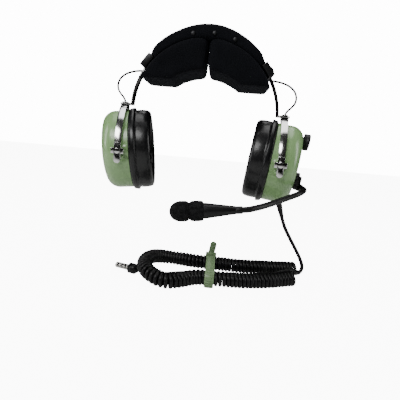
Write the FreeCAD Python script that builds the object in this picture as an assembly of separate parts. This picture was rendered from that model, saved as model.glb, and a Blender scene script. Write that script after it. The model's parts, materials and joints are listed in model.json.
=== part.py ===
import FreeCAD, Part
import math
import os
from FreeCAD import Placement, Rotation, Vector

# Aviation headset, millimetres. +X is the wearer's left, -Y is the front, +Z is up.
# The origin is midway between the two ear cups' tilt pivots, on the wearer's ear line.

# ---- driving dimensions: headband ------------------------------------------------
ARC_Z = 54.4            # height of the centre of the headband's arc
ARC_R = 95.2            # radius of the stems' and springs' centre line
STEM_T = 2.0            # stem strip thickness
STEM_W = 13.0           # stem strip width, front to back
STEM_TOP = 44.0         # degrees from the crown to the stem's upper end
SPRING_T = 1.2
SPRING_W = 13.5
SPRING_END = 53.0       # degrees from the crown to the spring's end
COVER = 2.2             # fabric over the springs' centre line
PADDING = 10.7          # fabric and foam under it
SLEEVE_OUT = ARC_R + COVER
SLEEVE_IN = ARC_R - PADDING
SLEEVE_HALF = 33.0      # half of the sleeve's width
BLOCK_START = 47.2      # degrees, slide block's upper end
BLOCK_END = 57.6
BLOCK_HALF = 24.0
BLOCK_UNDER = 5.4       # slide block under the stems' centre line
BLOCK_IN = ARC_R - BLOCK_UNDER
BLOCK_PAD_H = 1.3       # raised face under the thumbscrew
SCREW_ANGLE = 52.4      # degrees, thumbscrew's place on the arc
SCREW_R = 2.0
SCREW_HEAD_R = 4.2
SCREW_HEAD_H = 4.6
SNAP_R = 2.4
SNAP_H = 1.2
SNAP_UNDER = 5.2
SNAP_ARC_R = ARC_R - SNAP_UNDER
SNAP_ANGLES = (-12.0, 4.0, 20.0)
CUSHION_HALF = 36.0
CROWN_R = 71.0          # radius of the hollow that the crown of the head fills
CROWN_Z = 29.0
CUSHION_END_Z = 87.0
SLIT = 1.6              # slit between the two pad cushions
SLIT_FLARE = 12.0
SOFT_GAP = 0.3          # room left round soft pieces
RUN = 0.05              # radial running clearance
FACE = 0.05             # clearance between turning faces
PUSH = 0.03             # radial clearance of a pushed-in tube
WIRE_R = 1.35           # crossover wire
WIRE_UNDER = 3.4
WIRE_ARC_R = ARC_R - WIRE_UNDER
WIRE_Y = 12.0
OUTLET_ANGLE = 55.5
OUTLET_R = 3.0
OUTLET_H = 1.0

# ---- driving dimensions: ear cups ------------------------------------------------
LUG_REACH = 9.8         # from the stem's strip out to the swivel
CUP_X = ARC_R + LUG_REACH
CUP_TOE = 7.4           # degrees, front edges turned inwards
CUP_TILT = 6.2          # degrees, lower edges turned inwards
DOME_V = 40.7           # half of the dome's front-to-back size
DOME_W = 51.0           # half of its height
DOME_END_R = 30.0
DOME_WALL = 2.0
DOME_OUT = 23.0         # from the pivot to the dome's outer face
DOME_RIM = -12.0        # from the pivot to the dome's rim
DOME_ROUND = 17.0       # rounding of the outer face's edge
PIN_R = 2.2
PIN_BOSS_R = 4.5
FLANGE_T = 4.0
FLANGE_STEP = 1.5       # the rim's step on the flange
FLANGE_OVER = 2.0       # how far the flange stands out past the dome
EAR_V = 23.5            # ear opening
EAR_W = 33.0
EAR_END_R = 20.0
SEAL_DEPTH = 24.0       # seal's depth from the flange's inner face
SEAL_OVER = 0.6         # seal band past the dome's outline
SEAL_LIP = 5.0          # lip past the dome's outline
SEAL_ROUND = 8.0
SKIRT_T = 3.5           # thickness of the skirt that hooks over the flange
FOAM_T = 4.4
BAFFLE_T = 1.4
SPEAKER_R = 19.0
SPEAKER_DEPTH = 13.0
GROMMET_R = 3.0
BOSS_GAP = 0.3          # dome boss to stirrup strap

# ---- driving dimensions: stirrups ------------------------------------------------
STRAP_W = 8.0
STRAP_T = 2.0
STRAP_SIDE = 3.3        # room beside the dome
STRAP_OVER = 5.0        # room over the dome
STRAP_V = DOME_V + STRAP_SIDE
STRAP_TOP = DOME_W + STRAP_OVER
STRAP_END_R = 32.0
STRAP_FOOT = 9.0        # strap's length below the pivot
COLLAR_HALF = 5.5
COLLAR_T = 1.2
COLLAR_DROP = 3.4
RIVET_R = 2.4
RIVET_HEAD_R = 4.3
RIVET_FOOT_R = 3.8
RIVET_HEAD_H = 1.65
CLIP_T = 1.6
CLIP_BAR = 15.0
CLIP_BAR_H = 6.8
CLIP_UP = 10.0
CLIP_DOWN = 11.0

# ---- driving dimensions: controls, boom and microphone ---------------------------
KNOB_R = 10.5
KNOB_H = 7.4
KNOB_LIFT = 0.4         # knob's underside above the dome
KNOB_V = -3.0
KNOB_FROM_TOP = 17.5
KNOB_W = DOME_W - KNOB_FROM_TOP
POT_R = 7.0
POT_DEPTH = 8.2
POT_SHIM = 1.8          # from the dome's wall to the pot's face, where the wall curves
SHAFT_R = 3.0
SPIGOT_R = 4.2          # threaded neck through the dome
BOOM_R = 3.5
BOOM_V = -10.0          # boom pivot on the dome's outer face
BOOM_W = -15.5
BOOM_BASE_R = 10.0
BOOM_BASE_H = 1.4
BOOM_DISC_R = 9.5
BOOM_DISC_H = 4.2
BOOM_SOCKET_R = 4.9
BOOM_SOCKET_L = 15.0
BOOM_KNOB_R = 5.2
BOOM_KNOB_H = 3.4
BOOM_SCREW_R = 2.5
MIC_L = 44.0
MIC_R = 8.8
MIC_TIP_R = 4.4
MIC_TAPER_L = 34.0
CAPSULE_R = 5.0
CAPSULE_L = 11.0
SCREEN_R = 11.3
SCREEN_WAIST = 1.3      # depth of the notch between its two lobes
SCREEN_ROLL = 15.0      # length of the rear lobe
SCREEN_START = 37.0
SCREEN_L = 37.0

# ---- driving dimensions: cord ----------------------------------------------------
FLOOR = -150.6          # the surface that the cord lies on
CORD_R = 2.5
COIL_R = 9.6
RELIEF_L = 22.0
RELIEF_R = 4.4
BOOT_R = 6.5
BOOT_L = 12.0
PLUG_R = 3.57
PLUG_L = 21.0
TIE_T = 1.4
TIE_W = 11.0
TIE_GAP = 0.4
TIE_TAIL = 12.5
TIE_TAIL_W = 8.4


def box(x0, x1, y0, y1, z0, z1):
    return Part.makeBox(x1 - x0, y1 - y0, z1 - z0, Vector(x0, y0, z0))


def rod(start, direction, radius, length):
    return Part.makeCylinder(radius, length, start, direction)


def oval_wire(u, half_v, half_w, end_r):
    """An upright oval of four tangent arcs in the plane x = u."""
    side_r = (half_v ** 2 + (half_w - end_r) ** 2 - end_r ** 2) / (2 * (half_v - end_r))
    side = Vector(0, half_v - side_r, 0)
    end = Vector(0, 0, half_w - end_r)
    meet = end + (end - side).normalize() * end_r
    v, w = meet.y, meet.z
    top = Part.Arc(Vector(u, v, w), Vector(u, 0, half_w), Vector(u, -v, w))
    front = Part.Arc(Vector(u, -v, w), Vector(u, -half_v, 0), Vector(u, -v, -w))
    bottom = Part.Arc(Vector(u, -v, -w), Vector(u, 0, -half_w), Vector(u, v, -w))
    back = Part.Arc(Vector(u, v, -w), Vector(u, half_v, 0), Vector(u, v, w))
    return Part.Wire([arc.toShape() for arc in (top, front, bottom, back)])


def oval(u0, u1, half_v, half_w, end_r):
    return Part.Face(oval_wire(u0, half_v, half_w, end_r)).extrude(Vector(u1 - u0, 0, 0))


def dome_oval(u0, u1, over):
    """An oval that keeps a fixed distance outside the dome's outline."""
    return oval(u0, u1, DOME_V + over, DOME_W + over, DOME_END_R + over)


def round_face(shape, u, radius):
    edges = [e for e in shape.Edges if e.BoundBox.XMin > u - 1e-4 and e.BoundBox.XMax < u + 1e-4]
    return shape.makeFillet(radius, edges)


def on_arc(radius, degrees, y=0.0):
    angle = math.radians(degrees)
    return Vector(radius * math.sin(angle), y, ARC_Z + radius * math.cos(angle))


def sector(r0, r1, a0, a1, y0, y1):
    """A stretch of the headband's arc, between two radii and two angles."""
    middle = (a0 + a1) / 2
    outer = Part.Arc(on_arc(r1, a0, y0), on_arc(r1, middle, y0), on_arc(r1, a1, y0)).toShape()
    inner = Part.Arc(on_arc(r0, a1, y0), on_arc(r0, middle, y0), on_arc(r0, a0, y0)).toShape()
    end = Part.LineSegment(on_arc(r1, a1, y0), on_arc(r0, a1, y0)).toShape()
    start = Part.LineSegment(on_arc(r0, a0, y0), on_arc(r1, a0, y0)).toShape()
    return Part.Face(Part.Wire([outer, end, inner, start])).extrude(Vector(0, y1 - y0, 0))


def placed(shape, placement):
    copy = shape.copy()
    copy.Placement = placement.multiply(copy.Placement)
    return copy


def mirrored(shape):
    return shape.mirror(Vector(0, 0, 0), Vector(1, 0, 0))


TOE = Placement(Vector(CUP_X, 0, 0), Rotation(Vector(0, 0, 1), -CUP_TOE))
CUP = TOE.multiply(Placement(Vector(0, 0, 0), Rotation(Vector(0, 1, 0), CUP_TILT)))


def save(node, *shapes):
    for shape in shapes:
        if not shape.isValid() or shape.Volume <= 0:
            raise ValueError(node + " is not a valid solid")
    whole = shapes[0] if len(shapes) == 1 else Part.makeCompound(list(shapes))
    os.makedirs("parts", exist_ok=True)
    whole.exportStep("parts/" + node + ".step")


def save_pair(name, *shapes):
    """Writes the wearer's left piece and its mirror image on the right."""
    save(name + "_left", *shapes)
    save(name + "_right", *[mirrored(shape) for shape in shapes])


def cord(name, points, radius):
    """A tube of straight runs joined by the largest tangent arcs that the runs allow."""
    edges = []
    radii = []
    start = points[0]
    for i in range(1, len(points) - 1):
        into = points[i] - points[i - 1]
        out = points[i + 1] - points[i]
        half = into.getAngle(out) / 2
        trim = 0.45 * min(into.Length, out.Length)
        radii.append(trim / math.tan(half))
        a = points[i] - Vector(into).normalize() * trim
        b = points[i] + Vector(out).normalize() * trim
        inward = (Vector(out).normalize() - Vector(into).normalize()).normalize()
        middle = points[i] + inward * (radii[-1] / math.cos(half) - radii[-1])
        edges.append(Part.LineSegment(start, a).toShape())
        edges.append(Part.Arc(a, middle, b).toShape())
        start = b
    edges.append(Part.LineSegment(start, points[-1]).toShape())
    path = Part.Wire(edges)
    ring = Part.Wire(Part.makeCircle(radius, points[0], points[1] - points[0]))
    tube = path.makePipeShell([ring], True, False)
    if tube.Volume < 0:
        tube.reverse()
    ratio = tube.Volume / (math.pi * radius ** 2 * path.Length)
    print(name, "length", round(path.Length, 1), "volume ratio", round(ratio, 4),
          "radii", [round(r, 1) for r in radii])
    return tube


# ---- headband --------------------------------------------------------------------
def springs():
    r0 = ARC_R - SPRING_T / 2
    near = STEM_W / 2 + 1.0
    rear = sector(r0, r0 + SPRING_T, -SPRING_END, SPRING_END, near, near + SPRING_W)
    front = sector(r0, r0 + SPRING_T, -SPRING_END, SPRING_END, -near - SPRING_W, -near)
    return front, rear


def band_wire(radius, outlet_top):
    """The crossover wire's hidden length, with a leg up to each outlet."""
    ring = Part.makeTorus(WIRE_ARC_R, radius, Vector(0, WIRE_Y, ARC_Z), Vector(0, 1, 0))
    reach = WIRE_ARC_R + 3 * OUTLET_R
    wire = ring.common(sector(reach - 6 * OUTLET_R, reach, -OUTLET_ANGLE, OUTLET_ANGLE,
                              WIRE_Y - OUTLET_R, WIRE_Y + OUTLET_R))
    for side in (-1, 1):
        corner = on_arc(WIRE_ARC_R, side * OUTLET_ANGLE, WIRE_Y)
        top = on_arc(outlet_top, side * OUTLET_ANGLE, WIRE_Y)
        wire = wire.fuse(rod(corner, top - corner, radius, (top - corner).Length))
        wire = wire.fuse(Part.makeSphere(radius, corner))
    return wire.removeSplitter()


def sleeve():
    ends = BLOCK_START - 0.4
    body = sector(SLEEVE_IN, SLEEVE_OUT, -ends, ends, -SLEEVE_HALF, SLEEVE_HALF)
    half = STEM_W / 2 + 1.0 + SPRING_W + 2 * SOFT_GAP
    room = STEM_T / 2 + SOFT_GAP
    body = body.cut(sector(ARC_R - room, ARC_R + room, -ends - 1, ends + 1, -half, half))
    return body.cut(band_wire(WIRE_R + SOFT_GAP, SLEEVE_OUT - SOFT_GAP - 3))


def cushion():
    outer = rod(Vector(0, -CUSHION_HALF, ARC_Z), Vector(0, 1, 0), SLEEVE_IN - SOFT_GAP, 2 * CUSHION_HALF)
    crown = rod(Vector(0, -CUSHION_HALF - 1, CROWN_Z), Vector(0, 1, 0), CROWN_R, 2 * CUSHION_HALF + 2)
    keep = box(SLIT / 2, ARC_R, -CUSHION_HALF, CUSHION_HALF, CUSHION_END_Z, ARC_Z + ARC_R)
    body = outer.common(keep).cut(crown)
    mouth_z = CROWN_Z + CROWN_R
    corners = [Vector(0, -CUSHION_HALF - 1, mouth_z - 5), Vector(SLIT_FLARE / 2, -CUSHION_HALF - 1, mouth_z - 5),
               Vector(SLIT / 2, -CUSHION_HALF - 1, mouth_z + 18), Vector(0, -CUSHION_HALF - 1, mouth_z + 18)]
    flare = Part.Face(Part.makePolygon(corners + corners[:1])).extrude(Vector(0, 2 * CUSHION_HALF + 2, 0))
    return body.cut(flare)


def snaps():
    caps = []
    for side in (-1, 1):
        for degrees in SNAP_ANGLES:
            place = on_arc(SNAP_ARC_R, degrees, side * SLEEVE_HALF)
            caps.append(rod(place, Vector(0, side, 0), SNAP_R, SNAP_H))
    return caps


def slide_block():
    half = STEM_W / 2
    body = sector(BLOCK_IN, SLEEVE_OUT, BLOCK_START, BLOCK_END, -BLOCK_HALF, BLOCK_HALF)
    body = body.fuse(sector(SLEEVE_OUT - 1, SLEEVE_OUT + BLOCK_PAD_H, BLOCK_START + 0.5, BLOCK_END - 0.5,
                            -half - 2, half + 2))
    outlet = on_arc(SLEEVE_OUT - 1, OUTLET_ANGLE, WIRE_Y)
    out = (on_arc(ARC_R, OUTLET_ANGLE) - on_arc(0, 0)).normalize()
    body = body.fuse(rod(outlet, out, OUTLET_R, 1 + OUTLET_H))
    slot = STEM_T / 2 + RUN
    body = body.cut(sector(ARC_R - slot, ARC_R + slot, BLOCK_START - 1, BLOCK_END + 1, -half - RUN, half + RUN))
    grip = SPRING_T / 2 + FACE
    for side in (-1, 1):
        near = side * (half + 1.0 - FACE)
        far = side * (half + 1.0 + SPRING_W + FACE)
        body = body.cut(sector(ARC_R - grip, ARC_R + grip, BLOCK_START - 1, SPRING_END + 0.2,
                               min(near, far), max(near, far)))
    hole = on_arc(ARC_R, SCREW_ANGLE)
    up = (hole - on_arc(0, 0)).normalize()
    body = body.cut(rod(hole, up, SCREW_R + RUN, 10))
    return body.cut(band_wire(WIRE_R + FACE, SLEEVE_OUT + 5)).removeSplitter()


def thumbscrew():
    foot = on_arc(ARC_R + STEM_T / 2 + 2 * FACE, SCREW_ANGLE)
    up = (foot - on_arc(0, 0)).normalize()
    top = SLEEVE_OUT + BLOCK_PAD_H + 2 * FACE
    head = on_arc(top, SCREW_ANGLE)
    return rod(foot, up, SCREW_R, (head - foot).Length + 1).fuse(rod(head, up, SCREW_HEAD_R, SCREW_HEAD_H))


# ---- stems and swivels -----------------------------------------------------------
STRAP_OUT = STRAP_TOP + STRAP_T
LUG_Z = STRAP_OUT + COLLAR_T + 2 * FACE


def stem():
    half = STEM_W / 2
    low = math.degrees(math.acos((LUG_Z + STEM_T / 2 - ARC_Z) / ARC_R))
    strip = sector(ARC_R - STEM_T / 2, ARC_R + STEM_T / 2, STEM_TOP, low, -half, half)
    lug = box(ARC_R - STEM_T / 2 - 0.15, CUP_X, -half, half, LUG_Z, LUG_Z + STEM_T)
    lug = lug.fuse(rod(Vector(CUP_X, 0, LUG_Z), Vector(0, 0, 1), half, STEM_T))
    body = strip.fuse(lug).removeSplitter()
    return body.cut(rod(Vector(CUP_X, 0, LUG_Z - 1), Vector(0, 0, 1), RIVET_R + 0.01, STEM_T + 2))


def rivet():
    low = STRAP_TOP - FACE - RIVET_HEAD_H
    high = LUG_Z + STEM_T
    up = Vector(0, 0, 1)
    body = rod(Vector(CUP_X, 0, low), up, RIVET_R, high + RIVET_HEAD_H - low)
    body = body.fuse(rod(Vector(CUP_X, 0, low), up, RIVET_FOOT_R, RIVET_HEAD_H))
    body = body.fuse(rod(Vector(CUP_X, 0, high), up, RIVET_HEAD_R, RIVET_HEAD_H))
    return body.cut(rod(Vector(CUP_X, 0, low - 1), up, WIRE_R + 2 * RUN, high - low + 9)).removeSplitter()


LOOP = [Vector(*p) for p in (
    (84.9, 12, 105.6), (91.5, 12, 105.4), (100.5, 11.5, 103.6), (109, 10.8, 100.2), (115.6, 9.6, 94.4),
    (118.6, 8, 86.6), (117.4, 6.2, 78.8), (112.4, 3.6, 72.4), (107, 0.8, 67.8), (105, 0, 63.2))]


# ---- stirrups: built about the pivot line, +Y along it, then turned by the toe-in -
def stirrup():
    half = STRAP_W / 2
    outer = oval(-half, half, STRAP_V + STRAP_T, STRAP_OUT, STRAP_END_R + STRAP_T)
    body = outer.cut(oval(-half, half, STRAP_V, STRAP_TOP, STRAP_END_R))
    span = STRAP_V + STRAP_T + 1
    body = body.common(box(-half, half, -span, span, -STRAP_FOOT, STRAP_OUT + 1))
    body = body.cut(rod(Vector(0, -span, 0), Vector(0, 1, 0), PIN_R + 0.01, 2 * span))
    body = body.cut(rod(Vector(0, 0, STRAP_TOP - 4), Vector(0, 0, 1), STRAP_W / 2 + 0.5, 4))
    return body.cut(rod(Vector(0, 0, STRAP_TOP - 2), Vector(0, 0, 1), RIVET_R + RUN, 6))


def collar():
    half = STRAP_W / 2 + 0.1
    body = box(-half - 0.9, half + 0.9, -COLLAR_HALF, COLLAR_HALF, STRAP_OUT - COLLAR_DROP, STRAP_OUT + COLLAR_T)
    body = body.cut(box(-half, half, -COLLAR_HALF, COLLAR_HALF, STRAP_OUT - COLLAR_DROP, STRAP_OUT))
    return body.cut(rod(Vector(0, 0, STRAP_OUT - 1), Vector(0, 0, 1), RIVET_R + RUN, 4))


def clip(side):
    near = STRAP_V + STRAP_T + FACE
    y0, y1 = sorted((side * near, side * (near + CLIP_T)))
    half = STRAP_W / 2
    body = box(-CLIP_BAR / 2, CLIP_BAR / 2, y0, y1, -CLIP_BAR_H / 2, CLIP_BAR_H / 2)
    body = body.fuse(box(-half, half, y0, y1, -CLIP_DOWN, CLIP_UP))
    body = body.fuse(rod(Vector(0, y0, -CLIP_DOWN), Vector(0, 1, 0), half, CLIP_T)).removeSplitter()
    return body.cut(rod(Vector(0, -60, 0), Vector(0, 1, 0), PIN_R + 0.01, 120))


def pivot_pin(side):
    inner = DOME_V - DOME_WALL - 2
    head = STRAP_V + STRAP_T + FACE + CLIP_T
    body = rod(Vector(0, side * inner, 0), Vector(0, side, 0), PIN_R, head - inner + 1)
    return body.fuse(rod(Vector(0, side * head, 0), Vector(0, side, 0), 3.4, 1.6)).removeSplitter()


# ---- ear cups: u outwards, v back and w up, then tilted and turned ----------------
GROMMET_U = -(STRAP_TOP - 3) * math.sin(math.radians(CUP_TILT))


def dome_outer():
    return round_face(dome_oval(DOME_RIM, DOME_OUT, 0), DOME_OUT, DOME_ROUND)


def dome():
    inner = dome_oval(DOME_RIM, DOME_OUT - DOME_WALL, -DOME_WALL)
    body = dome_outer()
    for side in (-1, 1):
        y = side * (DOME_V - DOME_WALL)
        body = body.fuse(rod(Vector(0, y, 0), Vector(0, side, 0), PIN_BOSS_R,
                             STRAP_V - BOSS_GAP - DOME_V + DOME_WALL))
        hood = rod(Vector(0, y, -7), Vector(0, side, 0), 6.5, DOME_WALL + 2.6)
        hood = hood.cut(rod(Vector(0, y, -7), Vector(0, side, 0), 4.3, 9))
        z_cut = box(-8, 8, -60, 60, -7, 10)
        body = body.fuse(hood.cut(z_cut))
    body = body.cut(round_face(inner, DOME_OUT - DOME_WALL, DOME_ROUND - DOME_WALL))
    ledge = dome_oval(BAFFLE_U, BAFFLE_U + 1.5, -DOME_WALL + 0.1)
    body = body.fuse(ledge.cut(dome_oval(BAFFLE_U - 1, BAFFLE_U + 3, -DOME_WALL - 1.4)))
    body = body.cut(rod(Vector(0, -60, 0), Vector(0, 1, 0), PIN_R + RUN, 120))
    return body.cut(rod(Vector(GROMMET_U, 0, DOME_W - 6), Vector(0, 0, 1), GROMMET_R + FACE, 9))


BAFFLE_U = DOME_RIM + SOFT_GAP * 2 + FOAM_T + BAFFLE_T


def flange():
    low = DOME_RIM - FLANGE_T
    body = dome_oval(low, DOME_RIM - FLANGE_STEP, FLANGE_OVER).fuse(
        dome_oval(DOME_RIM - FLANGE_STEP, DOME_RIM, 0))
    return body.removeSplitter().cut(oval(low - 1, DOME_RIM + 1, EAR_V + 1, EAR_W + 1, EAR_END_R + 1))


def ear_seal():
    low = DOME_RIM - FLANGE_T
    face = low - SEAL_DEPTH
    band = dome_oval(face, low - SKIRT_T + 0.5, SEAL_OVER)
    band = round_face(band, face, SEAL_ROUND)
    lip = oval_wire(low - SKIRT_T, DOME_V + SEAL_LIP, DOME_W + SEAL_LIP, DOME_END_R + SEAL_LIP)
    edge_over = FLANGE_OVER + 2 * SOFT_GAP
    edge_u = DOME_RIM - FLANGE_STEP + SOFT_GAP
    edge = oval_wire(edge_u, DOME_V + edge_over, DOME_W + edge_over, DOME_END_R + edge_over)
    skirt = Part.makeLoft([lip, edge], True, True)
    pocket = dome_oval(low - SOFT_GAP, edge_u + 1, FLANGE_OVER + SOFT_GAP)
    body = band.fuse(skirt).cut(pocket)
    hole = oval(face - 1, DOME_RIM + 1, EAR_V, EAR_W, EAR_END_R)
    return body.cut(hole).removeSplitter()


def foam_liner():
    return dome_oval(DOME_RIM + SOFT_GAP, DOME_RIM + SOFT_GAP + FOAM_T, -DOME_WALL - 1.5)


def baffle():
    plate = dome_oval(BAFFLE_U - BAFFLE_T, BAFFLE_U, -DOME_WALL - 0.2)
    return plate.cut(rod(Vector(BAFFLE_U - 5, 0, 0), Vector(1, 0, 0), SPEAKER_R + RUN, 9))


def speaker():
    front = BAFFLE_U - BAFFLE_T
    body = rod(Vector(front, 0, 0), Vector(1, 0, 0), SPEAKER_R, SPEAKER_DEPTH)
    return body.fuse(rod(Vector(BAFFLE_U + FACE, 0, 0), Vector(1, 0, 0), SPEAKER_R + 2, 1.5)).removeSplitter()


def grommet():
    up = Vector(0, 0, 1)
    body = rod(Vector(GROMMET_U, 0, DOME_W - DOME_WALL + 0.1), up, GROMMET_R, DOME_WALL + 0.5)
    return body.fuse(Part.makeCone(GROMMET_R + 1, GROMMET_R, 1.8, Vector(GROMMET_U, 0, DOME_W + FACE), up))


# ---- what only the microphone side carries ----------------------------------------
RELIEF_DIR = Vector(0.33, 0, -0.944).normalize()
RELIEF_START = CUP.multVec(Vector(10, 0, -DOME_W + 4.5))
RELIEF_TIP = RELIEF_START + RELIEF_DIR * (RELIEF_L + 4.5)
POSTS = ((14, -3), (14, 20 - DOME_W), (-5, 19 - DOME_W))
BOARD_FROM_END = 15.0   # from the dome's lower end up to the board
BOARD_U = 9.0
BOARD_T = 1.6


def left_dome():
    body = dome()
    out = Vector(1, 0, 0)
    for v, w in POSTS:
        low = BOARD_U + BOARD_T
        body = body.fuse(rod(Vector(low, v, w), out, 2.5, DOME_OUT - 1 - low))
    body = body.cut(rod(Vector(0, KNOB_V, KNOB_W), out, SPIGOT_R + FACE, 40))
    body = body.cut(rod(Vector(10, BOOM_V, BOOM_W), out, SPIGOT_R + FACE, 30))
    down = CUP.inverse().Rotation.multVec(RELIEF_DIR)
    body = body.cut(rod(CUP.inverse().multVec(RELIEF_START) - down * 2, down, RELIEF_R + FACE, 14))
    return placed(body, CUP)


POT_FACE = DOME_OUT - DOME_WALL - POT_SHIM


def volume_pot():
    body = rod(Vector(POT_FACE - POT_DEPTH, KNOB_V, KNOB_W), Vector(1, 0, 0), POT_R, POT_DEPTH)
    neck = DOME_OUT + KNOB_LIFT - 0.2 - POT_FACE
    body = body.fuse(rod(Vector(POT_FACE - 1, KNOB_V, KNOB_W), Vector(1, 0, 0), SPIGOT_R, neck + 1))
    bore = rod(Vector(POT_FACE - POT_DEPTH + 2, KNOB_V, KNOB_W), Vector(1, 0, 0), SHAFT_R + RUN, 20)
    return placed(body.cut(bore).removeSplitter(), CUP)


def volume_knob():
    start = POT_FACE - POT_DEPTH + 2.5
    low = DOME_OUT + KNOB_LIFT
    shaft = rod(Vector(start, KNOB_V, KNOB_W), Vector(1, 0, 0), SHAFT_R, low - start + 1)
    cap = rod(Vector(low, KNOB_V, KNOB_W), Vector(1, 0, 0), KNOB_R, KNOB_H)
    return placed(round_face(cap, low + KNOB_H, 1.2).fuse(shaft).removeSplitter(), CUP)


BASE_TOP = DOME_OUT + BOOM_BASE_H
DISC_LOW = BASE_TOP + FACE
DISC_TOP = DISC_LOW + BOOM_DISC_H


def boom_bracket():
    body = rod(Vector(8, BOOM_V, BOOM_W), Vector(1, 0, 0), BOOM_BASE_R, BASE_TOP - 8).cut(dome_outer())
    spigot = rod(Vector(DOME_OUT - DOME_WALL - 3, BOOM_V, BOOM_W), Vector(1, 0, 0), SPIGOT_R, DOME_WALL + 4)
    body = body.fuse(spigot).removeSplitter()
    bore = rod(Vector(0, BOOM_V, BOOM_W), Vector(1, 0, 0), BOOM_SCREW_R + RUN, 40)
    return placed(body.cut(bore), CUP)


SOCKET_U = DISC_LOW + 0.25 + BOOM_SOCKET_R
MIC_AXIS = Vector(-77, -6, -8).normalize()
EAR = Vector(CUP_X, 0, 0)
MIC_START = EAR + Vector(-55.2, -87.5, -50.7)
BOOM_ROUTE = [CUP.multVec(Vector(SOCKET_U, 5, -25.5))] + [EAR + Vector(*p) for p in (
    (32, -27, -28.4), (22, -43, -32), (4, -53, -38), (-13, -64, -43.5), (-29, -77, -47))]
BOOM_ROUTE += [MIC_START - MIC_AXIS * 12, MIC_START]


def boom_clamp():
    disc = placed(rod(Vector(DISC_LOW, BOOM_V, BOOM_W), Vector(1, 0, 0), BOOM_DISC_R, BOOM_DISC_H), CUP)
    along = (BOOM_ROUTE[1] - BOOM_ROUTE[0]).normalize()
    socket = rod(BOOM_ROUTE[0] - along * 2, along, BOOM_SOCKET_R, BOOM_SOCKET_L)
    web = placed(box(DISC_LOW, DISC_LOW + BOOM_DISC_H, BOOM_V - 6, BOOM_V + 6, -26, BOOM_W), CUP)
    body = disc.fuse([socket, web]).removeSplitter()
    body = body.cut(rod(BOOM_ROUTE[0], along, BOOM_R + PUSH, BOOM_SOCKET_L + 5))
    bore = placed(rod(Vector(0, BOOM_V, BOOM_W), Vector(1, 0, 0), BOOM_SCREW_R + RUN, 50), CUP)
    return body.cut(bore)


def boom_knob():
    start = DOME_OUT - DOME_WALL - 4
    low = DISC_TOP + FACE
    screw = rod(Vector(start, BOOM_V, BOOM_W), Vector(1, 0, 0), BOOM_SCREW_R, low - start + 1)
    cap = rod(Vector(low, BOOM_V, BOOM_W), Vector(1, 0, 0), BOOM_KNOB_R, BOOM_KNOB_H)
    return placed(round_face(cap, low + BOOM_KNOB_H, 1.0).fuse(screw).removeSplitter(), CUP)


def ferrule():
    start = MIC_START - MIC_AXIS * 6
    return rod(start, MIC_AXIS, MIC_TIP_R, 6).cut(rod(start, MIC_AXIS, BOOM_R + PUSH, 6))


def mic_body():
    taper = Part.makeCone(MIC_TIP_R, MIC_R, MIC_TAPER_L, MIC_START, MIC_AXIS)
    neck = MIC_START + MIC_AXIS * MIC_TAPER_L
    body = taper.fuse(rod(neck, MIC_AXIS, MIC_R, MIC_L - MIC_TAPER_L)).removeSplitter()
    seat = MIC_START + MIC_AXIS * (MIC_L - CAPSULE_L - 1)
    return body.cut(rod(seat, MIC_AXIS, CAPSULE_R + FACE, CAPSULE_L + 2))


def mic_halves():
    turn = Placement(MIC_START, Rotation(Vector(1, 0, 0), MIC_AXIS))
    half = placed(box(-5, MIC_L + 5, 0, 20, -20, 20), turn)
    whole = mic_body()
    halves = [whole.common(half).Solids[0], whole.cut(half).Solids[0]]
    return sorted(halves, key=lambda piece: piece.CenterOfMass.y)


def windscreen():
    """Two foam lobes with a waist, turned about the microphone's axis, open at the rear."""
    bore = MIC_R + SOFT_GAP
    notch = SCREEN_START + SCREEN_ROLL
    waist = SCREEN_R - SCREEN_WAIST
    far = SCREEN_START + SCREEN_L - SCREEN_R
    nose = SCREEN_R * math.sqrt(0.5)
    seat = MIC_L + SOFT_GAP
    rear_lobe = Part.Arc(Vector(SCREEN_START, bore, 0), Vector(notch - SCREEN_ROLL / 2, SCREEN_R, 0),
                         Vector(notch, waist, 0))
    shoulder = Part.Arc(Vector(notch, waist, 0), Vector(notch + 1.2, SCREEN_R - 0.35, 0),
                        Vector(notch + 3.4, SCREEN_R, 0))
    front = Part.Arc(Vector(far, SCREEN_R, 0), Vector(far + nose, nose, 0), Vector(far + SCREEN_R, 0, 0))
    edges = [rear_lobe, shoulder, Part.LineSegment(shoulder.EndPoint, front.StartPoint), front,
             Part.LineSegment(front.EndPoint, Vector(seat, 0, 0)),
             Part.LineSegment(Vector(seat, 0, 0), Vector(seat, bore, 0)),
             Part.LineSegment(Vector(seat, bore, 0), rear_lobe.StartPoint)]
    profile = Part.Face(Part.Wire([edge.toShape() for edge in edges]))
    body = profile.revolve(Vector(0, 0, 0), Vector(1, 0, 0), 360)
    return placed(body, Placement(MIC_START, Rotation(Vector(1, 0, 0), MIC_AXIS)))


def strain_relief():
    root = rod(RELIEF_START, RELIEF_DIR, RELIEF_R, 4.5)
    nose = Part.makeCone(RELIEF_R, CORD_R + 0.2, RELIEF_L, RELIEF_START + RELIEF_DIR * 4.5, RELIEF_DIR)
    return root.fuse(nose).removeSplitter()


def circuit_board():
    return placed(box(BOARD_U, BOARD_U + BOARD_T, -9, 18, BOARD_FROM_END - DOME_W, 1), CUP)


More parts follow.
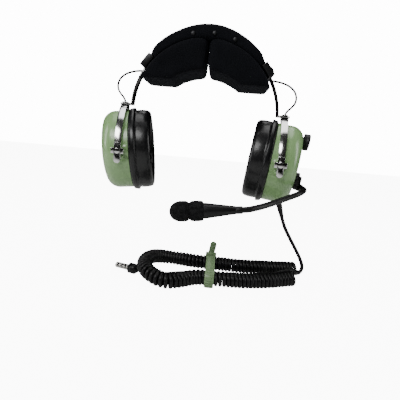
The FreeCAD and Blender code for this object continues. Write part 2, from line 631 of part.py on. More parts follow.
# ---- cord, its plug and its tie ----------------------------------------------------
LOW = FLOOR + COIL_R + 0.1      # height of a coiled row that lies on the surface
TIED = LOW + TIE_T + TIE_GAP    # where the tie passes under it
OVER = FLOOR + 18.8             # where it rides over the plug's cord
COIL = [Vector(*p) for p in (
    (143, -8, LOW), (104, -14, LOW), (68, -22, LOW + 0.6), (43, -23.6, TIED), (11, -23.6, TIED),
    (-12, -17.5, LOW + 0.8), (-32, -18, LOW + 1.8), (-47.5, -28, OVER - 3.5), (-54, -47.5, OVER - 0.5),
    (-53.5, -69, OVER), (-44, -87, OVER - 2.5), (-24, -94, LOW + 1.5), (-6, -84.5, LOW + 0.6),
    (11, -72.6, TIED), (43, -72.6, TIED), (72, -67.5, LOW + 0.5), (102, -58, LOW), (133, -44, LOW))]
LAY = FLOOR + CORD_R + 0.1      # height of the plain cord on the surface
OVER_TIE = LAY + TIE_T + TIE_GAP + 0.4
COIL_IN = (COIL[0] - COIL[1]).normalize()
LEAD_END = COIL[0] + Vector(0, 0, LAY - LOW)
LEAD = [RELIEF_TIP, RELIEF_TIP + RELIEF_DIR * 11] + [Vector(*p) for p in (
    (131.5, -1.5, -98), (141, -3, -112.5), (149.5, -4.5, -126), (154.6, -6, -137.5),
    (152.6, -6.6, -145.6))] + [LEAD_END + COIL_IN * 4.6, LEAD_END]
COIL_OUT = (COIL[-1] - COIL[-2]).normalize()
PLUG_DIR = Vector(-0.951, 0.309, 0).normalize()
BOOT_REAR = Vector(-62, -60, FLOOR + BOOT_R + 0.1)
TAIL_START = COIL[-1] + Vector(0, 0, 3)
TAIL = [TAIL_START, TAIL_START + COIL_OUT * 8] + [Vector(*p) for p in (
    (143.5, -30.5, -138.2), (135, -24.8, -138.4), (121, -27, -140), (104, -33.5, -144), (80, -41, LAY + 0.4),
    (58, -44.5, LAY + 1.6), (40, -46, OVER_TIE), (12, -47, OVER_TIE), (-8, -48.5, LAY + 1.4))]
TAIL += [Vector(-25, -55.5, LAY + 0.6), Vector(-41.5, -61.5, LAY + 1), BOOT_REAR - PLUG_DIR * 10, BOOT_REAR]


def plug_boot():
    nose = Part.makeCone(CORD_R + 0.8, BOOT_R, BOOT_L * 0.35, BOOT_REAR, PLUG_DIR)
    body = nose.fuse(rod(BOOT_REAR + PLUG_DIR * BOOT_L * 0.35, PLUG_DIR, BOOT_R, BOOT_L * 0.65))
    return body.removeSplitter()


def plug_finger():
    """Four contacts with three insulating rings between them, flush on one finger."""
    shoulder = BOOT_REAR + PLUG_DIR * BOOT_L
    ring_l = 0.8
    contact_l = (PLUG_L - 3 * ring_l) / 4
    contacts = []
    rings = []
    at = shoulder
    for i in range(4):
        piece = rod(at, PLUG_DIR, PLUG_R, contact_l)
        if i == 3:
            end = [e for e in piece.Edges if e.BoundBox.Center.distanceToPoint(at + PLUG_DIR * contact_l) < 0.5]
            piece = piece.makeFillet(2.4, end)
        contacts.append(piece)
        at = at + PLUG_DIR * contact_l
        if i < 3:
            rings.append(rod(at, PLUG_DIR, PLUG_R, ring_l))
            at = at + PLUG_DIR * ring_l
    return contacts, rings


def cable_tie():
    """A ladder strap round both coiled rows, with its head on top and its end standing up."""
    back = (COIL[3] + COIL[4]) / 2
    span = COIL[3].y - COIL[13].y
    inner = COIL_R + TIE_GAP
    outer = inner + TIE_T

    def stadium(radius):
        body = rod(Vector(0, 0, 0), Vector(1, 0, 0), radius, TIE_W)
        body = body.fuse(rod(Vector(0, -span, 0), Vector(1, 0, 0), radius, TIE_W))
        return body.fuse(box(0, TIE_W, -span, 0, -radius, radius)).removeSplitter()

    loop = stadium(outer).cut(stadium(inner))
    head = box(-1.5, TIE_W + 1.5, -6, 1, outer - TIE_T, outer + 3.4)
    half = TIE_TAIL_W / 2
    end = rod(Vector(0, -TIE_T / 2, TIE_TAIL), Vector(0, 1, 0), half, TIE_T)
    tail = box(-half, half, -TIE_T / 2, TIE_T / 2, 0, TIE_TAIL).fuse(end)
    lean = Rotation(Vector(0, 1, 0), 10) * Rotation(Vector(1, 0, 0), -14)
    tail = placed(tail, Placement(Vector(TIE_W / 2, -2, outer + 2), lean))
    body = loop.fuse([head, tail]).removeSplitter()
    return placed(body, Placement(Vector(back.x - TIE_W / 2, back.y, TIED), Rotation()))


def build():
    save("headband_springs", *springs())
    save("crossover_wire_band", band_wire(WIRE_R, SLEEVE_OUT + OUTLET_H))
    save("pad_sleeve", sleeve())
    save_pair("pad_cushion", cushion())
    save("snap_fasteners", *snaps())
    save_pair("slide_block", slide_block())
    save_pair("thumbscrew", thumbscrew())
    save_pair("stem", stem())
    save_pair("swivel_rivet", rivet())
    save_pair("crossover_loop", cord("crossover_loop", LOOP, WIRE_R))

    save_pair("stirrup", placed(stirrup(), TOE))
    save_pair("stirrup_collar", placed(collar(), TOE))
    save_pair("pivot_clips", placed(clip(-1), TOE), placed(clip(1), TOE))
    save_pair("pivot_pins", placed(pivot_pin(-1), TOE), placed(pivot_pin(1), TOE))

    save("ear_dome_left", left_dome())
    save("ear_dome_right", mirrored(placed(dome(), CUP)))
    save_pair("ear_flange", placed(flange(), CUP))
    save_pair("ear_seal", placed(ear_seal(), CUP))
    save_pair("foam_liner", placed(foam_liner(), CUP))
    save_pair("speaker_baffle", placed(baffle(), CUP))
    save_pair("speaker", placed(speaker(), CUP))
    save_pair("wire_grommet", placed(grommet(), CUP))

    save("volume_pot", volume_pot())
    save("volume_knob", volume_knob())
    save("boom_bracket", boom_bracket())
    save("boom_knob", boom_knob())
    save("strain_relief", strain_relief())
    save("circuit_board", circuit_board())

    save("boom_clamp", boom_clamp())
    save("boom_tube", cord("boom_tube", BOOM_ROUTE, BOOM_R))
    save("boom_ferrule", ferrule())
    front, rear = mic_halves()
    save("mic_housing_front", front)
    save("mic_housing_rear", rear)
    seat = MIC_START + MIC_AXIS * (MIC_L - CAPSULE_L - 1)
    save("mic_capsule", rod(seat, MIC_AXIS, CAPSULE_R, CAPSULE_L))
    save("mic_windscreen", windscreen())

    save("cord_lead", cord("cord_lead", LEAD, CORD_R))
    save("cord_coil", cord("cord_coil", COIL, COIL_R))
    save("cord_tail", cord("cord_tail", TAIL, CORD_R))
    contacts, rings = plug_finger()
    save("plug_boot", plug_boot())
    save("plug_contacts", *contacts)
    save("plug_insulators", *rings)
    save("cable_tie", cable_tie())


build()
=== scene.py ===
# %% [markdown]
# The object is an aviation headset: two ear cups on a sprung headband, a boom microphone
# and a curly cord. The construction is already settled as solid parts. This file dresses
# those parts: it keeps the hard ones, models the soft ones, and gives each a finish.
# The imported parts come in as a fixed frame, so every new piece is made where it belongs.

# %% Load the frame
import bpy
import bmesh
import json
import math
from mathutils import Matrix, Vector, noise


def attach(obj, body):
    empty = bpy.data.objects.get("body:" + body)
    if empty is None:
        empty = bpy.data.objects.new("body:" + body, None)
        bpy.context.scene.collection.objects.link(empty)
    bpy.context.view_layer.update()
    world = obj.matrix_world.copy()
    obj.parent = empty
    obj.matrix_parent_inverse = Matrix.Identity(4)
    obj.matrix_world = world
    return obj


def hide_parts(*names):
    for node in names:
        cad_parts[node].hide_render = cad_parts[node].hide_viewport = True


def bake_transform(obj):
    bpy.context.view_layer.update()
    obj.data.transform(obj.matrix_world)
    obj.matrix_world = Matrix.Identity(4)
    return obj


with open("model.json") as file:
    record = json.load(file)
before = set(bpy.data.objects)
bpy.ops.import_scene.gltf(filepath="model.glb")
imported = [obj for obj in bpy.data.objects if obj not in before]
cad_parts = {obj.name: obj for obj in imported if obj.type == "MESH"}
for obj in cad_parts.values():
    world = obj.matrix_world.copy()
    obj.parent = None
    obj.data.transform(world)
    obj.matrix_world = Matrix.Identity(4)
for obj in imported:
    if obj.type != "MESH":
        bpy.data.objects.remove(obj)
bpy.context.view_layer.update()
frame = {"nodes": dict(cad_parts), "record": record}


MM = 0.001

# %% [markdown]
# The camera stands in front of the headset and a little above the ear cups, turned down
# by ten degrees and rolled a little, as a hand holds it. A camera looks along its own -Z
# axis with +Y up, so three directions worked out from the angles make its matrix.

# %% Camera
yaw, pitch, roll = (math.radians(a) for a in (-2.48, 10.27, 5.06))
ahead = Vector((math.sin(yaw), math.cos(yaw), 0))
level_right = Vector((math.cos(yaw), -math.sin(yaw), 0))
forward = ahead * math.cos(pitch) - Vector((0, 0, 1)) * math.sin(pitch)
level_up = Vector((0, 0, 1)) * math.cos(pitch) + ahead * math.sin(pitch)
right = level_right * math.cos(roll) + level_up * math.sin(roll)
up = level_up * math.cos(roll) - level_right * math.sin(roll)
camera = bpy.data.objects.new("camera", bpy.data.cameras.new("camera"))
bpy.context.scene.collection.objects.link(camera)
turn = Matrix((right, up, -forward)).transposed().to_4x4()
camera.matrix_world = Matrix.Translation(Vector((23.4, -428.3, 18.4)) * MM) @ turn
camera.data.sensor_width = 36
camera.data.lens = 28.44
camera.data.clip_start = 0.01
bpy.context.scene.camera = camera
print("camera at", [round(c, 3) for c in camera.location])

# %% [markdown]
# A finish is a small network of shader nodes. Written node by node it is hard to read, so
# one class wraps a socket and lets the arithmetic be written as arithmetic. Any other node
# is made by one method that takes its type, its settings and its inputs.

# %% Shader arithmetic
class Value:
    def __init__(self, tree, socket):
        self.tree = tree
        self.socket = socket

    def node(self, kind, inputs=(), out=0, **settings):
        made = self.tree.nodes.new(kind)
        for name, setting in settings.items():
            setattr(made, name, setting)
        for key, given in dict(inputs).items():
            target = made.inputs[key]
            if isinstance(given, Value):
                self.tree.links.new(given.socket, target)
            else:
                target.default_value = given
        return Value(self.tree, made.outputs[out])

    def maths(self, operation, other=None, third=None):
        given = {0: self}
        if other is not None:
            given[1] = other
        if third is not None:
            given[2] = third
        return self.node("ShaderNodeMath", given, operation=operation)

    def __add__(self, other):
        return self.maths("ADD", other)

    def __radd__(self, other):
        return self.maths("ADD", other)

    def __mul__(self, other):
        return self.maths("MULTIPLY", other)

    def __rmul__(self, other):
        return self.maths("MULTIPLY", other)

    def __sub__(self, other):
        return self.maths("SUBTRACT", other)

    def __rsub__(self, other):
        return self.node("ShaderNodeMath", {0: other, 1: self}, operation="SUBTRACT")

    def above(self, low, high):
        """0 below low, 1 above high, smooth between."""
        return self.node("ShaderNodeMapRange", {"Value": self, "From Min": low, "From Max": high},
                         interpolation_type="SMOOTHSTEP")

    def noise(self, scale, detail=3.0, rough=0.5, stretch=(1, 1, 1)):
        place = self.node("ShaderNodeMapping", {"Vector": self, "Scale": stretch})
        return self.node("ShaderNodeTexNoise", {"Vector": place, "Scale": scale, "Detail": detail,
                                                "Roughness": rough})

    def cells(self, scale):
        return self.node("ShaderNodeTexVoronoi", {"Vector": self, "Scale": scale})

    def colours(self, dark, light):
        return self.node("ShaderNodeMix", {0: self, 6: (*dark, 1), 7: (*light, 1)}, out=2, data_type="RGBA")


def finish_of(name, roughness=0.5, metallic=0.0, **constants):
    """A new material, its Principled node's inputs and the object's coordinates."""
    material = bpy.data.materials.new(name)
    material.use_nodes = True
    tree = material.node_tree
    shader = tree.nodes["Principled BSDF"]
    shader.inputs["Roughness"].default_value = roughness
    shader.inputs["Metallic"].default_value = metallic
    for key, given in constants.items():
        shader.inputs[key.replace("_", " ")].default_value = given
    coords = tree.nodes.new("ShaderNodeTexCoord")
    return material, shader, Value(tree, coords.outputs["Object"])


def connect(place, shader, colour=None, roughness=None, height=None, depth=0.0001, strength=0.6):
    if colour:
        place.tree.links.new(colour.socket, shader.inputs["Base Color"])
    if roughness:
        place.tree.links.new(roughness.socket, shader.inputs["Roughness"])
    if height:
        bump = place.node("ShaderNodeBump", {"Height": height, "Strength": strength, "Distance": depth})
        place.tree.links.new(bump.socket, shader.inputs["Normal"])


# %% [markdown]
# Moulded shells on this headset are a satin sage green. Real moulded plastic isn't one
# flat colour: it has a faint mottle, a very fine orange-peel surface and rubbed patches
# that shine more. Broad noise gives the mottle and fine noise gives the surface.

# %% Green shell
def moulded(name, dark, light, rough, peel=0.00003, grain=900, coat=0.0, gloss=0.5):
    material, shader, place = finish_of(name, Coat_Weight=coat, Coat_Roughness=0.18, Specular_IOR_Level=gloss)
    mottle = place.noise(18, 4)
    rub = place.noise(60, 5, 0.6).above(0.52, 0.72)
    connect(place, shader, (mottle * 0.8 + rub * 0.2).colours(dark, light),
            rough + mottle * 0.12 - rub * 0.08, place.noise(grain, 2) + rub * 0.4, peel)
    return material


green_shell = moulded("green_shell", (0.215, 0.375, 0.150), (0.275, 0.450, 0.200), 0.24, coat=0.4)
black_plastic = moulded("black_plastic", (0.003, 0.003, 0.0035), (0.007, 0.007, 0.0075), 0.34, 0.00006, 1400,
                        gloss=0.28)
tie_nylon = moulded("tie_nylon", (0.17, 0.27, 0.13), (0.25, 0.36, 0.19), 0.34)
board_lacquer = moulded("board", (0.01, 0.10, 0.03), (0.03, 0.16, 0.06), 0.22, coat=0.5)
print("moulded finishes made")

# %% [markdown]
# The stirrups and stems are polished steel strip. A mirror finish still has long hair
# lines from polishing and faint smears, so the noise is stretched along the strip's
# height and drives roughness more than colour.

# %% Metals
def metal(name, dark, light, rough, stretch=(1, 1, 0.05), lines=2600, depth=0.000004):
    material, shader, place = finish_of(name, metallic=1.0)
    hair = place.noise(lines, 3, 0.6, stretch)
    smear = place.noise(45, 4)
    connect(place, shader, (smear * 0.6 + hair * 0.4).colours(dark, light),
            rough + hair * 0.10 + smear * 0.12, hair, depth, 0.35)
    return material


polished_steel = metal("polished_steel", (0.56, 0.56, 0.55), (0.78, 0.78, 0.77), 0.04)
dark_steel = metal("dark_steel", (0.012, 0.012, 0.013), (0.04, 0.04, 0.042), 0.28)
spring_steel = metal("spring_steel", (0.18, 0.19, 0.22), (0.32, 0.33, 0.36), 0.2)
plug_metal = metal("plug_metal", (0.50, 0.49, 0.46), (0.72, 0.71, 0.68), 0.10, (1, 1, 1), 700)
print("metals made")

# %% [markdown]
# Black is never just black. The ear seals are a thin glossy vinyl with a skin-like grain,
# the cord jacket is duller and slightly dusty, the foam is full of open pores, and the
# pad's cloth has a fine weave that scatters light at grazing angles, which is sheen.

# %% Black soft finishes
def seal_vinyl_finish():
    material, shader, place = finish_of("seal_vinyl", Specular_IOR_Level=0.35, Coat_Weight=0.15,
                                        Coat_Roughness=0.1)
    grain = place.cells(1500)
    crease = place.noise(160, 5, 0.65)
    connect(place, shader, place.noise(30).colours((0.0025, 0.0025, 0.003), (0.007, 0.007, 0.008)),
            0.20 + crease * 0.22, grain * 0.5 + crease, 0.00012, 0.5)
    return material


def rubber_finish():
    material, shader, place = finish_of("black_rubber", Specular_IOR_Level=0.25)
    dust = place.noise(90, 5, 0.6).above(0.45, 0.8)
    connect(place, shader, dust.colours((0.004, 0.004, 0.0045), (0.014, 0.014, 0.0145)),
            0.32 + dust * 0.22, place.noise(1700, 3), 0.00005)
    return material


def foam_finish():
    material, shader, place = finish_of("foam", roughness=0.95, Specular_IOR_Level=0.15,
                                        Sheen_Weight=0.03, Sheen_Roughness=0.5)
    pores = place.cells(1100)
    shade = place.noise(300, 4).above(0.35, 0.7)
    connect(place, shader, shade.colours((0.002, 0.002, 0.0025), (0.011, 0.011, 0.012)), None,
            pores + shade * 0.6, 0.0005, 0.9)
    return material


def pad_cloth_finish():
    """A plain weave: two sets of threads, over and under, taken across the pad's own directions."""
    material, shader, place = finish_of("pad_fabric", roughness=0.95, Specular_IOR_Level=0.1,
                                        Sheen_Weight=0.03, Sheen_Roughness=0.4,
                                        Sheen_Tint=(0.5, 0.55, 0.75, 1))
    warp = place.node("ShaderNodeTexWave", {"Vector": place, "Scale": 420.0, "Distortion": 0.6},
                      bands_direction="X")
    weft = place.node("ShaderNodeTexWave", {"Vector": place, "Scale": 420.0, "Distortion": 0.6},
                      bands_direction="Y")
    wear = place.noise(40, 5, 0.6)
    lint = place.noise(1200, 2).above(0.68, 0.8)
    cloth = (wear * 0.5 + lint * 0.6).colours((0.0022, 0.0024, 0.0034), (0.0085, 0.0092, 0.0130))
    connect(place, shader, cloth, None, warp.maths("MAXIMUM", weft) + wear, 0.00025, 0.7)
    return material


seal_vinyl = seal_vinyl_finish()
black_rubber = rubber_finish()
foam = foam_finish()
pad_fabric = pad_cloth_finish()
FINISH = {"green_shell": green_shell, "polished_steel": polished_steel, "dark_steel": dark_steel,
          "spring_steel": spring_steel, "plug_metal": plug_metal, "seal_vinyl": seal_vinyl,
          "pad_fabric": pad_fabric, "foam": foam, "black_plastic": black_plastic,
          "black_rubber": black_rubber, "tie_nylon": tie_nylon, "board": board_lacquer}
SLOT = {s["node"]: s["material_slot"] for s in frame["record"]["subparts"]}
BODY = {n: b for b, ns in frame["record"]["behaviour"]["bodies"].items() for n in ns}
print(len(FINISH), "finishes for", len(SLOT), "nodes")

# %% [markdown]
# Hard parts keep the shape that the construction gives them. Their raw meshes are loose
# triangles, which catch the light facet by facet. A welded copy with smooth shading, and on
# the parts given a bevel width a hair of bevel on each hard corner, gives the soft highlights that real edges
# have.

# %% Carry over the hard parts
def add(name, mesh, material_slot, body):
    piece = bpy.data.objects.new(name, mesh)
    bpy.context.scene.collection.objects.link(piece)
    mesh.materials.clear()
    mesh.materials.append(FINISH[material_slot])
    if body:
        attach(piece, body)
    return piece


def finished(node, bevel=0.0, angle=32, material_slot=None):
    source = bpy.data.objects[node] if node in bpy.data.objects else frame["nodes"][node]
    build = bmesh.new()
    build.from_mesh(source.data)
    bmesh.ops.remove_doubles(build, verts=build.verts, dist=2e-6)
    if bevel:
        bmesh.ops.dissolve_limit(build, angle_limit=math.radians(0.8), verts=build.verts, edges=build.edges)
        hard = [e for e in build.edges if len(e.link_faces) == 2 and e.calc_face_angle() > math.radians(35)]
        bmesh.ops.bevel(build, geom=hard, offset=bevel, segments=2, profile=0.5, affect="EDGES",
                        clamp_overlap=True)
    mesh = bpy.data.meshes.new(node + "_smooth")
    build.to_mesh(mesh)
    build.free()
    mesh.shade_smooth()
    mesh.set_sharp_from_angle(angle=math.radians(angle))
    piece = add(node + "_smooth", mesh, material_slot or SLOT[node], BODY[node])
    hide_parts(node)
    return piece


# The flange takes the black plastic finish here, although the record lists it as green.
SIDES = ("left", "right")
OTHER_FINISH = {"ear_flange": "black_plastic"}
KEPT = []
for side in SIDES:
    for stem_name, bevel in (("stirrup", 0.00025), ("pivot_clips", 0.0002), ("pivot_pins", 0.0003),
                             ("stem", 0.0002), ("swivel_rivet", 0.0002), ("thumbscrew", 0.0003),
                             ("stirrup_collar", 0.0002), ("slide_block", 0.0004), ("ear_dome", 0),
                             ("ear_flange", 0), ("speaker", 0), ("speaker_baffle", 0), ("wire_grommet", 0)):
        slot = OTHER_FINISH.get(stem_name)
        KEPT.append(finished(stem_name + "_" + side, bevel, material_slot=slot))
for node, bevel in (("snap_fasteners", 0.0003), ("volume_pot", 0), ("volume_knob", 0), ("boom_bracket", 0),
                    ("boom_knob", 0), ("strain_relief", 0), ("circuit_board", 0), ("boom_clamp", 0.0003),
                    ("boom_tube", 0), ("boom_ferrule", 0.0002), ("mic_housing_front", 0),
                    ("mic_housing_rear", 0), ("mic_capsule", 0), ("plug_boot", 0), ("plug_contacts", 0),
                    ("plug_insulators", 0), ("cable_tie", 0.0002), ("headband_springs", 0),
                    ("crossover_wire_band", 0)):
    KEPT.append(finished(node, bevel))
print(len(KEPT), "hard parts carried over")

# %% [markdown]
# The ear cups' soft pieces follow the dome's outline, an oval of four tangent arcs. A cup
# has its own directions: outwards, back and up. One function gives the oval's points at
# any distance inside it, and another takes a point from a cup's directions to the frame.

# %% Ear cup directions and ovals
CUP_X, TOE, TILT = 105.0, math.radians(7.4), math.radians(6.2)
CUP = (Matrix.Translation(Vector((CUP_X, 0, 0))) @ Matrix.Rotation(-TOE, 4, "Z")
       @ Matrix.Rotation(TILT, 4, "Y"))


def oval_points(half_v, half_w, end_r, count):
    """Points round an upright oval of four tangent arcs, spread by the way the edge faces."""
    side_r = (half_v ** 2 + (half_w - end_r) ** 2 - end_r ** 2) / (2 * (half_v - end_r))
    switch = math.atan2(half_w - end_r, side_r - half_v)
    points = []
    for k in range(count):
        angle = 2 * math.pi * k / count
        c, s = math.cos(angle), math.sin(angle)
        if abs(math.atan2(s, abs(c))) <= switch:
            centre = (math.copysign(side_r - half_v, -c), 0)
            radius = side_r
        else:
            centre = (0, math.copysign(half_w - end_r, s))
            radius = end_r
        points.append((centre[0] + radius * c, centre[1] + radius * s))
    return points


def loft(rings, name, close_ends=False):
    """A skin over rings of equal length, each a list of points, closed round each ring."""
    build = bmesh.new()
    made = [[build.verts.new(p) for p in ring] for ring in rings]
    count = len(rings[0])
    last = len(made) if close_ends == "loop" else len(made) - 1
    for i in range(last):
        a, b = made[i], made[(i + 1) % len(made)]
        for k in range(count):
            build.faces.new((a[k], a[(k + 1) % count], b[(k + 1) % count], b[k]))
    if close_ends is True:
        build.faces.new(reversed(made[0]))
        build.faces.new(made[-1])
    bmesh.ops.recalc_face_normals(build, faces=build.faces)
    mesh = bpy.data.meshes.new(name)
    build.to_mesh(mesh)
    build.free()
    mesh.shade_smooth()
    return mesh


def in_cup(u, v, w, side):
    place = CUP @ Vector((u, v, w))
    return Vector((place.x if side == "left" else -place.x, place.y, place.z)) * MM


print("oval check", [tuple(round(c, 1) for c in p) for p in oval_points(40.7, 51, 30, 8)])

# %% [markdown]
# An ear seal is a ring of soft foam in a thin glossy skin. Pressure rounds its face, the
# skin gathers in short creases where it is sewn at the two edges, and a skirt hooks over
# the flange. It could be inflated as cloth, but its ring shape follows a rule, so it is
# lofted from a profile, and the creases are added as waves that die out in the middle.

# %% Ear seals
SEAL = [(-13.0, 1.056), (-13.6, 1.10), (-16.0, 1.135), (-18.8, 1.16), (-19.9, 1.15), (-20.2, 1.06),
        (-20.6, 0.985), (-23, 1.0), (-27, 1.012), (-31.5, 1.005), (-35.5, 0.975), (-38.4, 0.90),
        (-39.7, 0.76), (-40.0, 0.58), (-39.6, 0.38), (-38.3, 0.20), (-35.8, 0.07), (-32.5, 0.015),
        (-28, 0.005), (-23, 0.01), (-18.5, 0.02), (-16.6, 0.06), (-16.4, 0.3), (-16.35, 0.7),
        (-16.35, 1.045), (-14.5, 1.056)]
ROUND = 220


def seal_mesh(side):
    outer = oval_points(41.3, 51.6, 30.6, ROUND)
    inner = oval_points(23.7, 33.2, 20.2, ROUND)
    rings = []
    for i, (u, k) in enumerate(SEAL):
        ring = []
        for j in range(ROUND):
            angle = 2 * math.pi * j / ROUND
            edge = max(0.0, 1 - abs(i - 7) / 3.0) + max(0.0, 1 - abs(i - 18) / 3.0)
            wave = noise.noise(Vector((math.cos(angle) * 11, math.sin(angle) * 11, i * 0.22)))
            fine = noise.noise(Vector((math.cos(angle) * 24, math.sin(angle) * 24, i * 0.35 + 7)))
            puff = 0.10 * wave + edge * (0.45 * wave + 0.30 * fine)
            inset = 0.25 if 6 <= i <= 20 else 0.0
            kk = k + (puff * 0.02 if 6 <= i <= 19 else 0)
            v = inner[j][0] + (outer[j][0] - inner[j][0]) * kk
            w = inner[j][1] + (outer[j][1] - inner[j][1]) * kk
            lift = (0.35 * wave + 0.15 * fine + inset) if 10 <= i <= 15 else 0
            ring.append(in_cup(u + max(lift, 0), v, w, side))
        rings.append(ring)
    return loft(rings, "ear_seal_" + side, "loop")


for side in SIDES:
    seal = add("ear_seal_soft_" + side, seal_mesh(side), "seal_vinyl", "ear_cup_" + side + "_body")
    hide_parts("ear_seal_" + side)
print("ear seals lofted")

# %% [markdown]
# Inside each cup a sheet of acoustic foam hides the speaker. Its face bulges a little
# through the ear opening. A grid of the oval, raised by a smooth bump and pitted with
# noise, gives a foam that is soft at its edge.

# %% Foam liners
def liner_mesh(side):
    outline = oval_points(37.0, 47.3, 26.3, 96)
    rings = []
    for u_back, share in ((-7.2, 0.0), (-7.2, 0.6), (-7.2, 1.0), (-9.4, 1.0)):
        rings.append([in_cup(u_back, v * max(share, 0.01), w * max(share, 0.01), side) for v, w in outline])
    for share in (0.97, 0.88, 0.75, 0.6, 0.45, 0.3, 0.15, 0.01):
        ring = []
        for v, w in outline:
            pit = 0.16 * noise.noise(Vector((v * share, w * share, 3)) * 0.35)
            ring.append(in_cup(-11.2 - 0.35 * (1 - share) + pit, v * share, w * share, side))
        rings.append(ring)
    return loft(rings, "foam_liner_" + side, True)


for side in SIDES:
    liner = add("foam_liner_soft_" + side, liner_mesh(side), "foam", "ear_cup_" + side + "_body")
    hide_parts("foam_liner_" + side)
print("foam liners made")

# %% [markdown]
# The headband's pad is a cloth sleeve round the springs with two stuffed cushions under
# it, parted by a slit at the crown. A stuffed shape is a box whose corners are pulled in:
# points on a cube's grid, pushed out to a superellipsoid, round every edge at once. The
# same block is then bent along the headband's arc.

# %% Stuffed blocks
ARC_Z = 54.4


def stuffed_grid(nx, ny, nz, power):
    """The skin of a box from -1 to 1, rounded, as points and faces."""
    build = bmesh.new()
    found = {}
    faces = []
    for axis, (na, nb) in enumerate(((ny, nz), (nz, nx), (nx, ny))):
        for end in (-1, 1):
            for a in range(na):
                for b in range(nb):
                    quad = []
                    for da, db in ((0, 0), (1, 0), (1, 1), (0, 1)):
                        p = [0, 0, 0]
                        p[axis] = end
                        p[(axis + 1) % 3] = 2 * (a + da) / na - 1
                        p[(axis + 2) % 3] = 2 * (b + db) / nb - 1
                        key = tuple(round(c, 6) for c in p)
                        if key not in found:
                            norm = sum(abs(c) ** power for c in p) ** (1 / power)
                            found[key] = build.verts.new([c / norm for c in p])
                        quad.append(found[key])
                    faces.append(quad if end > 0 else quad[::-1])
    for quad in faces:
        build.faces.new(quad)
    return build


def on_arc(radius, degrees, y=0.0):
    angle = math.radians(degrees)
    return Vector((radius * math.sin(angle), y, ARC_Z + radius * math.cos(angle))) * MM


HOLLOW_DROP = 23.4
HOLLOW_R = 72.3
CUSHION_END_Z = 89.8
CUSHION_TOP_R = 86.3
CUSHION_MIDDLE = 33.1
CUSHION_REACH = 32.4
CUSHION_HALF_W = 35.2


def crown_radius(degrees):
    """How far down the cushion reaches at an angle: the hollow for the crown, or the flat end."""
    c = math.cos(math.radians(degrees))
    hollow = -HOLLOW_DROP * c + math.sqrt(HOLLOW_DROP ** 2 * (c * c - 1) + HOLLOW_R ** 2)
    return max(hollow, (CUSHION_END_Z - ARC_Z) / c)


def cushion_mesh(side):
    flip = 1 if side == "left" else -1
    build = stuffed_grid(64, 36, 20, 9.0)
    for vert in build.verts:
        q = vert.co.copy()
        degrees = CUSHION_MIDDLE + q.x * CUSHION_REACH
        low, high = crown_radius(degrees), CUSHION_TOP_R
        crease = noise.noise(Vector((degrees * 0.10, q.y * 2.2, q.z + flip * 3)))
        sag = 1.2 * crease * (1 - abs(q.z) ** 4)
        slit = max(0.0, -q.x - 0.80) * 5.0 * max(0.0, -q.z - 0.1) * 5.0
        width = CUSHION_HALF_W - 1.2 * (1 - q.z) - 2.6 * max(0.0, abs(q.x) - 0.8) * 5 * 0.3
        seam = 0.7 * math.exp(-((abs(q.y) - 0.80) / 0.035) ** 2) * (1 if q.z < 0 else 0)
        radius = low + (q.z + 1) / 2 * (high - low) + 0.5 * crease * (1 - q.z) / 2 + seam
        point = on_arc(radius, degrees, q.y * width + sag * (1 if q.y > 0 else -1))
        shift = slit * MM * (1 - q.z) / 2
        vert.co = Vector(((point.x + shift * 0.4) * flip, point.y, point.z))
    if flip < 0:
        bmesh.ops.reverse_faces(build, faces=build.faces)
    mesh = bpy.data.meshes.new("cushion_" + side)
    build.to_mesh(mesh)
    build.free()
    mesh.shade_smooth()
    return mesh


for side in SIDES:
    cushion = add("pad_cushion_soft_" + side, cushion_mesh(side), "pad_fabric", "headband")
    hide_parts("pad_cushion_" + side)
print("cushions made")


# %% [markdown]
# The sleeve wraps the springs from end to end. It is a thin stuffed block bent round the
# arc, with a raised welt along both long edges, where its two layers are sewn together.

# %% Sleeve
SLEEVE_R = 90.95
SLEEVE_REACH = 46.6
SLEEVE_HALF_W = 32.8
UNDERSIDE_DROP = 0.6


def crown_lift(degrees):
    """The cloth's fullness over the springs, most at the crown."""
    return 4.4 * math.exp(-((degrees - 3) / 27) ** 2)


def sleeve_mesh():
    build = stuffed_grid(120, 30, 6, 9.0)
    for vert in build.verts:
        q = vert.co.copy()
        degrees = q.x * SLEEVE_REACH
        crease = noise.noise(Vector((degrees * 0.16, q.y * 2.6, q.z)))
        ridge = 0.55 * math.exp(-((abs(q.y) - 0.93) / 0.05) ** 2)
        welt = ridge - 0.5 * math.exp(-((abs(q.y) - 0.84) / 0.04) ** 2)
        half = 6.15 + 0.25 * crease + welt * 0.7 - 0.5 * q.y ** 2
        full = crown_lift(degrees) * (q.z + 1) / 2
        radius = SLEEVE_R + q.z * half + full + min(q.z, 0) * UNDERSIDE_DROP
        vert.co = on_arc(radius, degrees, q.y * SLEEVE_HALF_W)
    mesh = bpy.data.meshes.new("pad_sleeve")
    build.to_mesh(mesh)
    build.free()
    mesh.shade_smooth()
    return mesh


sleeve = add("pad_sleeve_soft", sleeve_mesh(), "pad_fabric", "headband")
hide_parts("pad_sleeve")
print("sleeve made")

# %% [markdown]
# The windscreen is open-cell foam pulled over the microphone. It is turned from a profile
# with two lobes and a waist, like the real one, and its skin is made uneven with noise.

# %% Windscreen
MIC_AXIS = Vector((-77, -6, -8)).normalized()
MIC_START = Vector((49.8, -87.5, -50.7))
SCREEN = [(37.0, 9.15), (36.6, 9.8), (37.2, 10.6), (39.0, 11.2), (42.5, 11.45), (46.5, 11.4), (49.5, 11.0),
          (51.0, 10.3), (51.9, 9.4), (52.6, 9.4), (53.5, 10.4), (55.2, 11.2), (58.5, 11.5), (62.5, 11.35),
          (66.0, 10.6), (69.3, 9.0), (71.8, 6.6), (73.4, 3.6), (73.9, 1.4)]


